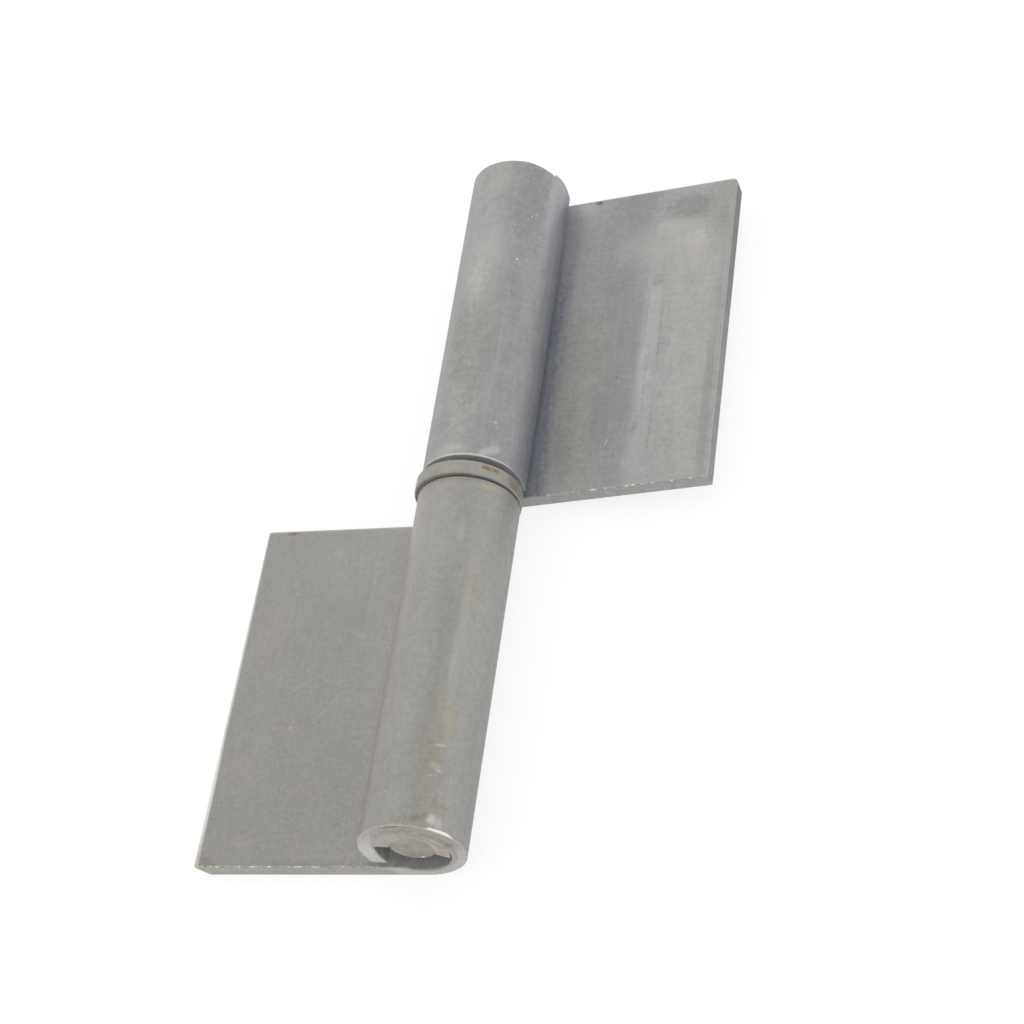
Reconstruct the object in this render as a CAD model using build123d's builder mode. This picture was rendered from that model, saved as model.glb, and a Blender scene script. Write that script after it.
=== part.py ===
from build123d import *
import os
from math import radians, tan

# Weld-on lift-off hinge, lying on its back with its leaves spread.
# Frame: +Y along the pin towards the upper leaf, +Z up from the table.
# The origin is on the table, below the pin's axis and half way between the two knuckles.
# Millimetres and degrees.

# The sheet, and the blank that both leaves are rolled from
sheet = 2.5
leaf_height = 59.0
bore_radius = 5.5
outer_radius = bore_radius + sheet

# From the pin's axis to the free edge, half way up the leaf
lower_reach = 35.8
upper_reach = 36.75

# How far each free edge was sheared out of square, wider at the leaf's outer end
lower_out_of_square = 0.7
upper_out_of_square = -0.2

# The rolled edge ends in a straight stretch, cut on a slant, that stops short of the plate
unrolled_angle = 9.0
tip_gap_outside = 2.0
tip_gap_inside = 1.6

# The punch rounds the edges of the outer side and leaves those of the inner side sharp
outer_side_round = 0.15
free_edge_round = 0.3

# The same at the corners of the free edge: radii at the back and at the front of the sheet
lower_outer_corner = (2.3, 0.1)
upper_outer_corner = (1.7, 1.0)
inner_corner = (1.0, 0.1)
waste_margin = 1.0

# The upper knuckle's outer end was sheared low beside the roll's tip
dip_angle = 48.0
dip_half_width = 3.0
dip_depth = 0.65

# How far the upper leaf is folded up out of the lower leaf's plane
fold_angle = 6.9

# The pin is gripped in the lower knuckle and runs free in the upper one
running_clearance = 0.05
pin_recess = 0.55
pin_chamfer = 2.1
pin_tip_depth = 8.0

# The lower knuckle's mouth sags towards the plate, and a weld fills the groove round the pin
# there, all but the part beside the roll's tip
mouth_sag = 0.9
mouth_depth = 3.0
weld_dish = 0.15
weld_start_angle = -25.0
weld_sweep = 190.0

# The bearing ring is loose on the pin and lies off centre, on the table
knuckle_gap = 3.9
ring_height = 2.4
ring_radius = 8.4
ring_hole_radius = 6.1
ring_play_below = 0.15
ring_shift = -0.1
ring_chamfer = 0.2

# Worked out from the values above
pin_axis_height = outer_radius
running_radius = bore_radius - running_clearance
knuckle_face = knuckle_gap / 2
leaf_end = knuckle_face + leaf_height
roll_angle = 270 + unrolled_angle
pin_foot = -leaf_end + pin_recess
pin_foot_radius = bore_radius - pin_chamfer
pin_tip = leaf_end - pin_tip_depth

# The pin's axis, turning from the free edge of the upper leaf up over the top
pin_axis = Axis((0, 0, pin_axis_height), (0, -1, 0))
along_pin = Plane.XY.offset(pin_axis_height)


def straight_tip(radius, gap):
    """Returns where the roll leaves its circle and where it ends, a gap above the plate's front."""
    leaves = Vector(radius, 0).rotate(Axis.Z, -unrolled_angle)
    level = gap - bore_radius
    ends = Vector(leaves.X - (leaves.Y - level) * tan(radians(unrolled_angle)), level)
    return leaves, ends


def rolled_section(end, reach):
    """Returns the leaf's section: the plate, the roll round the pin and its straight tip."""
    outside_leaves, outside_ends = straight_tip(outer_radius, tip_gap_outside)
    inside_leaves, inside_ends = straight_tip(bore_radius, tip_gap_inside)
    with BuildSketch(end) as section:
        with BuildLine():
            Polyline((0, -bore_radius), (reach, -bore_radius), (reach, -outer_radius), (0, -outer_radius))
            CenterArc((0, 0), outer_radius, -unrolled_angle, roll_angle)
            Polyline(outside_leaves, outside_ends, inside_ends, inside_leaves)
            CenterArc((0, 0), bore_radius, -unrolled_angle, roll_angle)
        make_face()
    return section.sketch


def blank_outline(plan, outer_point, inner_point):
    """Returns the leaf's outline seen square on, from past the knuckle to the free edge."""
    past_knuckle = -2 * outer_radius
    with BuildSketch(plan) as outline:
        with BuildLine():
            Polyline(
                (past_knuckle, 0), outer_point, inner_point, (past_knuckle, leaf_height), close=True
            )
        make_face()
    return outline.sketch


def corner_waste(level, point, radius, inwards):
    """Returns what the punch takes off a corner at one level: all that lies outside its arc."""
    with BuildSketch(level) as waste:
        with BuildLine():
            Polyline(
                point + Vector(-radius, 0),
                point + Vector(-radius, -waste_margin * inwards),
                point + Vector(waste_margin, -waste_margin * inwards),
                point + Vector(waste_margin, radius * inwards),
                point + Vector(0, radius * inwards),
            )
            CenterArc(point + Vector(-radius, radius * inwards), radius, 0, -90 * inwards)
        make_face()
    return waste.sketch


def soften_edges(end):
    """Rounds the outer side of the open leaf's roll and plate, and the back of its free edge."""
    outside = faces().filter_by(GeomType.CYLINDER).sort_by(SortBy.AREA)[-1]
    fillet(outside.edges().filter_by(GeomType.CIRCLE), outer_side_round)
    free_edge = faces().sort_by(Axis(end.origin, end.x_dir))[-1]
    fillet(free_edge.edges().sort_by(Axis(end.origin, end.y_dir))[0], free_edge_round)


def roll_leaf(end, reach, out_of_square, outer_corner):
    """Makes one leaf in the open part, from its outer end towards the ring.

    The plane's origin is on the pin's axis, its x points to the free edge, its y away from the
    leaf's back, and its normal along the pin towards the ring.
    """
    lean = tan(radians(out_of_square)) * leaf_height / 2
    outer_point = Vector(reach + lean, 0)
    inner_point = Vector(reach - lean, leaf_height)
    untrimmed = reach + abs(lean) + sheet

    extrude(rolled_section(end, untrimmed), amount=leaf_height)
    plan = Plane(end.origin, x_dir=end.x_dir, z_dir=-end.y_dir)
    trim = blank_outline(plan, outer_point, inner_point)
    extrude(trim, amount=2 * outer_radius, both=True, mode=Mode.INTERSECT)
    soften_edges(end)

    # Each corner of the free edge, from the back of the sheet to its front
    back = plan.offset(outer_radius)
    front = plan.offset(bore_radius)
    for point, (back_radius, front_radius), inwards in (
        (outer_point, outer_corner, 1),
        (inner_point, inner_corner, -1),
    ):
        back_waste = corner_waste(back, point, back_radius, inwards)
        front_waste = corner_waste(front, point, front_radius, inwards)
        loft([back_waste, front_waste], mode=Mode.SUBTRACT)


os.makedirs("parts", exist_ok=True)

# Lower leaf: its outer end is in front and its free edge to the left
lower_end = Plane((0, -leaf_end, pin_axis_height), x_dir=(-1, 0, 0), z_dir=(0, 1, 0))
with BuildPart() as lower_leaf:
    roll_leaf(lower_end, lower_reach, lower_out_of_square, lower_outer_corner)
    with BuildSketch(lower_end) as mouth:
        with Locations((0, -mouth_sag)):
            Circle(bore_radius)
    with BuildSketch(lower_end.offset(mouth_depth)) as throat:
        Circle(bore_radius)
    loft([mouth.sketch, throat.sketch], mode=Mode.SUBTRACT)
lower_leaf.part.label = "lower_leaf"
export_step(lower_leaf.part, "parts/lower_leaf.step")

# Upper leaf: the same blank turned round, and folded up about the pin
upper_x = Vector(1, 0, 0).rotate(Axis.Y, -fold_angle)
upper_end = Plane((0, leaf_end, pin_axis_height), x_dir=upper_x, z_dir=(0, -1, 0))
with BuildPart() as upper_leaf:
    roll_leaf(upper_end, upper_reach, upper_out_of_square, upper_outer_corner)
    outwards = Vector(1, 0, 0).rotate(pin_axis, dip_angle)
    along_rim = Vector(0, 1, 0).cross(outwards)
    with BuildSketch(Plane(pin_axis.position, x_dir=along_rim, z_dir=outwards)):
        with BuildLine():
            Polyline(
                (-dip_half_width, leaf_end),
                (dip_half_width, leaf_end),
                (dip_half_width, leaf_end - dip_depth),
                close=True,
            )
        make_face()
    extrude(amount=2 * outer_radius, mode=Mode.SUBTRACT)
upper_leaf.part.label = "upper_leaf"
export_step(upper_leaf.part, "parts/upper_leaf.step")

# Pin: a rod chamfered at both ends, a little thinner where the upper leaf turns on it
with BuildPart() as pin:
    with BuildSketch(along_pin):
        with BuildLine():
            Polyline(
                (0, pin_foot),
                (pin_foot_radius, pin_foot),
                (bore_radius, pin_foot + pin_chamfer),
                (bore_radius, -knuckle_face),
                (running_radius, -knuckle_face),
                (running_radius, pin_tip - pin_chamfer),
                (running_radius - pin_chamfer, pin_tip),
                (0, pin_tip),
                close=True,
            )
        make_face()
    revolve(axis=pin_axis)
pin.part.label = "pin"
export_step(pin.part, "parts/pin.step")

# Weld: flush with the lower knuckle's end, and dished a little towards the pin
weld_x = Vector(1, 0, 0).rotate(pin_axis, weld_start_angle)
weld_start = Plane(pin_axis.position, x_dir=weld_x, z_dir=weld_x.cross(Vector(0, 1, 0)))
with BuildPart() as pin_weld:
    with BuildSketch(weld_start):
        with BuildLine():
            Polyline(
                (pin_foot_radius, -leaf_end + weld_dish),
                (bore_radius, -leaf_end),
                (bore_radius, pin_foot + pin_chamfer),
                (pin_foot_radius, pin_foot),
                close=True,
            )
        make_face()
    revolve(axis=pin_axis, revolution_arc=weld_sweep)
pin_weld.part.label = "pin_weld"
export_step(pin_weld.part, "parts/pin_weld.step")

# Bearing ring: cut from tube
ring_foot = -knuckle_face + ring_play_below
ring_base = Plane((ring_shift, ring_foot, ring_radius), x_dir=(1, 0, 0), z_dir=(0, 1, 0))
with BuildPart() as bearing_ring:
    with BuildSketch(ring_base):
        Circle(ring_radius)
        Circle(ring_hole_radius, mode=Mode.SUBTRACT)
    extrude(amount=ring_height)
    rim = faces().filter_by(GeomType.CYLINDER).sort_by(SortBy.AREA)[-1]
    chamfer(rim.edges(), ring_chamfer)
bearing_ring.part.label = "bearing_ring"
export_step(bearing_ring.part, "parts/bearing_ring.step")
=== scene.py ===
"""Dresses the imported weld-on hinge in bare rolled steel and lights it on a photographer's table.

Blender lengths are metres, in the part's frame: +Y along the pin towards the upper leaf, +Z up from
the table. Finishes work in millimetres, in each leaf's own frame.
"""
import logging
import math
from collections.abc import Mapping
from dataclasses import dataclass
from enum import Enum
from typing import Any

import bmesh
import bpy
from mathutils import Matrix, Vector, noise


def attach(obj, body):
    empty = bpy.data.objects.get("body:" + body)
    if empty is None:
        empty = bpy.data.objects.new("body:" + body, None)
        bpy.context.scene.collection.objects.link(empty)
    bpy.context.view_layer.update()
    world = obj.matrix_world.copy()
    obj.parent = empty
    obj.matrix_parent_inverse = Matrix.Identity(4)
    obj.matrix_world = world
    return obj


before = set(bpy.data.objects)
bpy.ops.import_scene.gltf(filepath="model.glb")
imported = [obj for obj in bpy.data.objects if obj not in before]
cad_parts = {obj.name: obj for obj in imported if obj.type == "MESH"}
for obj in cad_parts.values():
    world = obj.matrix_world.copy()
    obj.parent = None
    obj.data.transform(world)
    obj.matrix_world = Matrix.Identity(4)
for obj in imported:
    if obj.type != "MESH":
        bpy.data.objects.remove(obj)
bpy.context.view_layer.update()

MM = 0.001
log = logging.getLogger("weld_on_hinge")

Colour = tuple[float, float, float]
Tones = tuple[tuple[float, Colour], ...]


def paint(red: int, green: int, blue: int) -> Colour:
    """Turns a colour as a screen shows it into the linear colour that a shader takes.

    Args:
        red: Red from 0 to 255.
        green: Green from 0 to 255.
        blue: Blue from 0 to 255.

    Returns:
        The linear red, green and blue.
    """

    def linear(level: int) -> float:
        share = level / 255
        return share / 12.92 if share <= 0.04045 else ((share + 0.055) / 1.055) ** 2.4

    return linear(red), linear(green), linear(blue)


def grey(level: float) -> tuple[float, float, float, float]:
    """Returns an opaque grey as a shader takes it, white at 1."""
    return level, level, level, 1.0


@dataclass(frozen=True)
class Signal:
    """A value that varies over a surface: one output socket, with Python's own arithmetic."""

    bench: "Bench"
    socket: bpy.types.NodeSocket

    def _math(self, operation: str, *values: Any) -> "Signal":
        """Adds a Math node that works on the given values."""
        return self.bench.node("ShaderNodeMath", {"operation": operation}, dict(enumerate(values)))

    def __add__(self, other: Any) -> "Signal":
        """Adds."""
        return self._math("ADD", self, other)

    def __radd__(self, other: Any) -> "Signal":
        """Adds to a number."""
        return self._math("ADD", other, self)

    def __sub__(self, other: Any) -> "Signal":
        """Subtracts."""
        return self._math("SUBTRACT", self, other)

    def __rsub__(self, other: Any) -> "Signal":
        """Subtracts from a number."""
        return self._math("SUBTRACT", other, self)

    def __mul__(self, other: Any) -> "Signal":
        """Multiplies."""
        return self._math("MULTIPLY", self, other)

    def __truediv__(self, other: Any) -> "Signal":
        """Divides."""
        return self._math("DIVIDE", self, other)

    def __abs__(self) -> "Signal":
        """Drops the sign."""
        return self._math("ABSOLUTE", self)

    def root(self) -> "Signal":
        """Returns the square root."""
        return self._math("SQRT", self)

    def bearing(self, across: "Signal") -> "Signal":
        """Returns the angle in degrees from across towards this value."""
        return self._math("ARCTAN2", self, across) * math.degrees(1)

    def larger(self, other: Any) -> "Signal":
        """Returns the larger of two values."""
        return self._math("MAXIMUM", self, other)

    def rise(self, low: float, high: float) -> "Signal":
        """Goes smoothly from 0 at low to 1 at high, or the other way round where high is less."""
        settings = {"interpolation_type": "SMOOTHSTEP"}
        if low < high:
            sockets = {"Value": self, "From Min": low, "From Max": high}
        else:
            sockets = {"Value": self, "From Min": high, "From Max": low, "To Min": 1.0, "To Max": 0.0}
        return self.bench.node("ShaderNodeMapRange", settings, sockets)


@dataclass(frozen=True)
class Pattern:
    """One kind of cloudy noise.

    It has per_mm clouds to a millimetre and a number of finer layers, as strong as contrast says.
    A stretch draws it out: that many times as close across, along and up, then turned by lean, in
    degrees about the sheet's normal.
    """

    per_mm: float
    layers: int
    contrast: float = 0.5
    lean: float = 0.0
    stretch: tuple[float, float, float] | None = None


# The scale and grain of rolled sheet
CLOUDS = Pattern(0.11, 4, 0.55)
BLOTS = Pattern(0.5, 4, 0.62)
FLECKS = Pattern(1.1, 3, 0.85)
GRAIN = Pattern(2.6, 2, 0.7)
RUN = Pattern(1.0, 5, 0.68, stretch=(0.42, 0.1, 1.0))
DRAWN = Pattern(1.0, 3, 0.7, lean=2.0, stretch=(2.2, 0.2, 1.0))
ROLLED = Pattern(1.0, 3, 0.7, lean=-3.0, stretch=(0.2, 2.0, 1.0))

# The wear of rolled sheet: ragged edges of marks, curling scratches, and cut edges
FRAY = Pattern(1.1, 6, 0.8)
CURLS = Pattern(0.9, 2, 0.6)
CURL_BREAKS = Pattern(0.91, 2)
SHEARED = Pattern(1.0, 2, 0.7, stretch=(3.0, 3.0, 0.6))

# Turned and welded steel, and the torn steel of a burr
TURNED_BLOTS = Pattern(0.9, 4, 0.75)
TURNED_GRAIN = Pattern(3.2, 3, 0.75)
BRUSHED = Pattern(1.0, 4, 0.75, stretch=(2.6, 1.0, 0.5))
TINT = Pattern(0.32, 3, 0.6)
TORN = Pattern(1.1, 4, 0.7)

# How strongly the surface's relief shows
RELIEF = 0.8


class Bench:
    """The bench on which one finish is put together: the shader tree of a material or the sky."""

    # A Mix node's sockets for the two colours, and its output for the mixed one
    UNDER = 6
    OVER = 7
    MIXED = 2

    def __init__(self, made: bpy.types.Material | bpy.types.World) -> None:
        """Empties the shader tree.

        Args:
            made: The new material or sky.
        """
        made.use_nodes = True
        self.tree = made.node_tree
        self.tree.nodes.clear()

    def close(self, kind: str, surface: "Signal") -> None:
        """Ends the tree with an output node of that kind, which shows the surface."""
        output = self.tree.nodes.new(kind)
        self.tree.links.new(surface.socket, output.inputs["Surface"])

    def node(
        self,
        kind: str,
        settings: Mapping[str, Any] | None = None,
        sockets: Mapping[int | str, Any] | None = None,
        output: int | str = 0,
    ) -> Signal:
        """Adds a node, sets it and fills its sockets.

        Args:
            kind: The node's type.
            settings: The node's own settings; stops is a list of places and colours on a ramp.
            sockets: Values or signals by the socket's number or name.
            output: The number or name of the output that is wanted.

        Returns:
            That output.
        """
        made = self.tree.nodes.new(kind)
        for name, value in (settings or {}).items():
            if name == "stops":
                self._set_stops(made.color_ramp.elements, value)
            else:
                setattr(made, name, value)
        for name, value in (sockets or {}).items():
            if isinstance(value, Signal):
                self.tree.links.new(value.socket, made.inputs[name])
            else:
                made.inputs[name].default_value = value
        return Signal(self, made.outputs[output])

    @staticmethod
    def _set_stops(elements: Any, stops: list[tuple[float, Colour]]) -> None:
        """Sets the stops of a ramp.

        Args:
            elements: The ramp's own stops, two at first.
            stops: The place from 0 to 1 and the colour of each stop, in order.
        """
        while len(elements) < len(stops):
            elements.new(1.0)
        for element, (place, colour) in zip(elements, stops):
            element.position = place
            element.color = (*colour, 1.0)

    def blend(self, under: Any, over: Any, amount: Any) -> Signal:
        """Lays one colour over another.

        Args:
            under: The colour below.
            over: The colour on top.
            amount: How much of the top colour covers the one below, 0 to 1.

        Returns:
            The mixed colour.
        """

        def full(colour: Any) -> Any:
            return colour if isinstance(colour, Signal) else (*colour, 1.0)

        settings = {"data_type": "RGBA", "clamp_factor": True}
        sockets = {0: amount, self.UNDER: full(under), self.OVER: full(over)}
        return self.node("ShaderNodeMix", settings, sockets, self.MIXED)

    def shade(self, colour: Any, amount: Any) -> Signal:
        """Makes a colour lighter or darker: its light is multiplied by the amount."""
        return self.node("ShaderNodeVectorMath", {"operation": "SCALE"}, {0: colour, "Scale": amount})

    def tones(self, value: Signal, tones: Tones) -> Signal:
        """Lays tones along a value.

        Args:
            value: The value that the tones follow.
            tones: The value and the colour of each tone, in order.

        Returns:
            The colour.
        """
        low, high = tones[0][0], tones[-1][0]
        share = self.node("ShaderNodeMapRange", None, {"Value": value, "From Min": low, "From Max": high})
        stops = [((place - low) / (high - low), colour) for place, colour in tones]
        return self.node("ShaderNodeValToRGB", {"stops": stops}, {0: share})

    def split(self, vector: Signal) -> tuple[Signal, Signal, Signal]:
        """Takes a vector apart."""
        parts = [self.node("ShaderNodeSeparateXYZ", None, {0: vector}, axis) for axis in range(3)]
        return parts[0], parts[1], parts[2]

    def mottle(self, place: Signal, pattern: Pattern) -> Signal:
        """Adds cloudy noise about zero.

        Args:
            place: The place on the surface, in millimetres.
            pattern: The kind of noise.

        Returns:
            The noise, from about -0.5 to 0.5.
        """
        if pattern.stretch:
            turn = (0.0, 0.0, math.radians(pattern.lean))
            drawn_out = {"Vector": place, "Rotation": turn, "Scale": pattern.stretch}
            place = self.node("ShaderNodeMapping", {"vector_type": "POINT"}, drawn_out)
        sockets = {
            "Vector": place,
            "Scale": pattern.per_mm,
            "Detail": pattern.layers,
            "Roughness": pattern.contrast,
        }
        return self.node("ShaderNodeTexNoise", None, sockets) - 0.5

    def relief(self, height: Signal) -> Signal:
        """Raises the surface by a height in millimetres."""
        return self.node("ShaderNodeBump", None, {"Height": height, "Distance": MM, "Strength": RELIEF})


@dataclass(frozen=True)
class LeafFrame:
    """Where a leaf lies: out along its plate, along the pin away from the ring, and up off its back."""

    turn: float = 0.0
    fold: float = 0.0
    pin_axis_height: float = 8.0

    def place(self, bench: Bench) -> Signal:
        """Reads the surface's place in the leaf's frame, in millimetres from the pin's axis."""
        coordinates = bench.node("ShaderNodeTexCoord", output="Object")
        settings = {"vector_type": "TEXTURE"}
        sockets = {
            "Vector": coordinates,
            "Location": (0.0, 0.0, self.pin_axis_height * MM),
            "Rotation": (0.0, math.radians(self.fold), math.radians(self.turn)),
            "Scale": (MM, MM, MM),
        }
        return bench.node("ShaderNodeMapping", settings, sockets)

    def facing(self, bench: Bench) -> Signal:
        """Reads which way the surface faces in the leaf's frame."""
        normal = bench.node("ShaderNodeTexCoord", output="Normal")
        rotation = (0.0, math.radians(self.fold), math.radians(self.turn))
        settings = {"vector_type": "TEXTURE"}
        return bench.node("ShaderNodeMapping", settings, {"Vector": normal, "Rotation": rotation})

    def matrix(self) -> Matrix:
        """Returns the matrix that takes millimetres in the leaf's frame to metres in the part's."""
        turned = Matrix.Rotation(math.radians(self.turn), 4, "Z")
        folded = Matrix.Rotation(math.radians(self.fold), 4, "Y")
        lifted = Matrix.Translation((0.0, 0.0, self.pin_axis_height * MM))
        return lifted @ turned @ folded @ Matrix.Scale(MM, 4)


class Part(Enum):
    """The part of a piece that a mark lies on."""

    PLATE = "plate"
    ROLL = "roll"
    FACE = "face"


class Shape(Enum):
    """The shape of a mark before its edge frays."""

    SPOT = "spot"
    BAND = "band"


@dataclass(frozen=True)
class Mark:
    """A stain, worn patch, scratch or speck, or a painted highlight, glint or shade, at its own place on
    a piece.

    On the plate a place is millimetres from the pin's axis; on the roll and on an end face it is
    degrees up from the plate's side, over the top. Along is millimetres from the middle of the
    hinge, or from the pin's axis on an end face.
    """

    part: Part
    across: float
    along: float
    half_wide: float
    half_long: float
    colour: Colour
    cover: float
    soft: float = 0.6
    frayed: float = 0.7
    lean: float = 0.0
    shape: Shape = Shape.SPOT


# Where one part of a leaf passes into the next: across its plate, up from the pin's axis and out
# from it, or along the pin from the middle of the hinge, in millimetres
ABOVE_PLATE = (-5.42, -5.3)
DOWN_TO_PLATE = (-5.3, -5.42)
ACROSS_TO_ROLL = (6.2, 5.2)
OUT_TO_ROLL = (6.9, 7.3)
ACROSS_TO_FREE_EDGE = (30.0, 30.5)
INTO_BORE = (6.0, 5.75)
INSIDE_TIP = (6.8, 6.5)
ACROSS_TO_TIP = (5.6, 4.8)
INTO_CREVICE = (9.4, 7.4)
RIM_TO_CUT = (7.9, 8.8)
CUT_TO_RIM = (8.8, 7.9)
TOWARDS_RING = (6.0, 4.0)
INNER_TO_OUTER_RIM = (20.0, 40.0)
INNER_TO_OUTER_CUT = (0.0, 70.0)

# How far a surface has to face along the pin, up and outwards, where 1 is squarely
FACING_ENDS = (0.72, 0.85)
FACING_UP = (0.5, 0.7)
FACING_OUT = (0.7, 0.9)

# How far noise of 1 moves the edge of a fully frayed mark, in half widths
FRAYING = 3.2

# Hair scratches: the sets that run one way, as degrees from along the pin and how many to a
# millimetre, then how slender and how broken they are and where the noise counts as a scratch
HAIR_SETS = ((38.0, 3.4), (-27.0, 3.0), (74.0, 3.2), (5.0, 3.8))
HAIR_SLENDER = 0.07
HAIR_BREAKS_PER_MM = 0.3
HAIR_BREAKS_PER_HAIR = 0.03
HAIR_LINE = (0.12, 0.3)
HAIR_SHOWN = (-0.02, 0.12)
CURL_LINE = (0.03, 0.0)
CURL_SHOWN = (0.03, 0.12)


@dataclass(frozen=True)
class Skin:
    """A piece's surface: what its marks and wear are placed by.

    Across and along are the place in the leaf's frame, and radius and angle the place about the
    pin's axis. Roll, plate, ends, free_edge and bore are 1 on that part of the piece and 0 off it.
    Fray is the noise that makes edges ragged.
    """

    bench: Bench
    place: Signal
    across: Signal
    along: Signal
    radius: Signal
    angle: Signal
    roll: Signal
    plate: Signal
    ends: Signal
    free_edge: Signal
    bore: Signal
    fray: Signal

    @classmethod
    def of(cls, bench: Bench, lies: LeafFrame) -> "Skin":
        """Reads a piece's surface.

        Args:
            bench: The bench of the piece's finish.
            lies: The frame of the leaf that it belongs to.

        Returns:
            The surface.
        """
        place = lies.place(bench)
        across, along, height = bench.split(place)
        out, ends, up = bench.split(lies.facing(bench))
        ends = abs(ends).rise(*FACING_ENDS)
        radius = (across * across + height * height).root()
        roll = height.rise(*ABOVE_PLATE).larger(across.rise(*ACROSS_TO_ROLL)) * radius.rise(*OUT_TO_ROLL)
        under_tip = radius.rise(*INSIDE_TIP) * across.rise(*ACROSS_TO_TIP)
        return cls(
            bench=bench,
            place=place,
            across=across,
            along=along,
            radius=radius,
            angle=height.bearing(across),
            roll=roll * (1.0 - ends),
            plate=up.rise(*FACING_UP) * height.rise(*DOWN_TO_PLATE),
            ends=ends,
            free_edge=out.rise(*FACING_OUT) * across.rise(*ACROSS_TO_FREE_EDGE),
            bore=radius.rise(*INTO_BORE).larger(under_tip),
            fray=bench.mottle(place, FRAY),
        )

    def cover(self, mark: Mark) -> Signal:
        """Works out how much of the surface a mark covers.

        Args:
            mark: The mark.

        Returns:
            From 0 outside the mark to its full cover at its middle.
        """
        across, along, where = {
            Part.PLATE: (self.across, self.along, self.plate),
            Part.ROLL: (self.angle, self.along, self.roll),
            Part.FACE: (self.angle, self.radius, self.ends),
        }[mark.part]
        across, along = across - mark.across, along - mark.along
        if mark.lean:
            cosine, sine = math.cos(math.radians(mark.lean)), math.sin(math.radians(mark.lean))
            across, along = across * cosine + along * sine, along * cosine - across * sine
        across = abs(across) / mark.half_wide
        along = abs(along) / mark.half_long
        if mark.shape is Shape.BAND:
            far = across.larger(along)
        else:
            far = (across * across + along * along).root()
        if mark.frayed:
            far = far + self.fray * (mark.frayed * FRAYING)
        return far.rise(1.0 + mark.soft, 1.0 - mark.soft) * where * mark.cover

    def mark(self, colour: Signal, marks: tuple[Mark, ...]) -> Signal:
        """Lays marks over a colour, one after the other."""
        for mark in marks:
            colour = self.bench.blend(colour, mark.colour, self.cover(mark))
        return colour

    def curls(self) -> Signal:
        """Draws short curling hair scratches: 1 on a scratch and 0 beside it."""
        line = abs(self.bench.mottle(self.place, CURLS)).rise(*CURL_LINE)
        return line * self.bench.mottle(self.place, CURL_BREAKS).rise(*CURL_SHOWN)

    def streaks(self, lean: float, per_mm: float) -> Signal:
        """Draws short straight scratches that all run one way.

        Args:
            lean: Their direction, in degrees from along the pin.
            per_mm: How closely they lie.

        Returns:
            1 on a scratch and 0 beside it.
        """
        lanes = Pattern(1.0, 1, lean=lean, stretch=(per_mm, per_mm * HAIR_SLENDER, 1.0))
        breaks = Pattern(HAIR_BREAKS_PER_MM + per_mm * HAIR_BREAKS_PER_HAIR, 1)
        line = self.bench.mottle(self.place, lanes).rise(*HAIR_LINE)
        return line * self.bench.mottle(self.place, breaks).rise(*HAIR_SHOWN)

    def hairs(self) -> Signal:
        """Draws all the hair scratches, the curling ones half as strong; none on the cut ends."""
        hairs = self.curls() * 0.5
        for lean, per_mm in HAIR_SETS:
            hairs = hairs.larger(self.streaks(lean, per_mm))
        return hairs * (1.0 - self.ends)


@dataclass(frozen=True)
class Specks:
    """Small specks, one at most to a cell.

    Size is how far a speck's edge is from the cell's middle, from outside in, and share picks the
    cells that have one.
    """

    colour: Colour
    size: tuple[float, float]
    share: tuple[float, float]


# Specks in the scale of rolled sheet
CELLS_PER_MM = 0.42
SPECK_COVER = 0.55
SPECKS = (
    Specks(paint(200, 199, 195), size=(0.07, 0.04), share=(0.9, 0.92)),
    Specks(paint(112, 110, 108), size=(0.08, 0.04), share=(0.08, 0.06)),
)

# Steel that scratches or wear lay bare
HAIR_STEEL = paint(192, 191, 187)
WORN_STEEL = paint(190, 189, 181)

# How far in from an end of the leaf, and from its free edge, the worn edges reach, in millimetres
WORN_AT_ENDS = 0.34
WORN_AT_FREE_EDGE = 0.4
WORN_BRIGHT = 0.1
WORN_RAGGED = 0.7

# How far the noise moves the tones' borders: millimetres on the plate, degrees on the roll
PLATE_STRAY = 1.6
ROLL_STRAY = 5.0

# How deep the patterns lie in the surface, in millimetres
GRAIN_DEPTH = 0.012
BLOT_DEPTH = 0.02
HAIR_DEPTH = 0.008

# How much rougher grain, blots and shelter make the steel, how much smoother wear makes it, and how
# much less metallic shelter does
GRAIN_ROUGH = 0.1
BLOTS_ROUGH = 0.08
SHELTER_ROUGH = 0.3
WEAR_SMOOTH = 0.12
SHELTER_DULL = 0.5

# How much two patterns show on the cut edges and in the bore
SHEARED_SHADE = 0.3
SHEARED_BLOTS = 0.25


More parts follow.
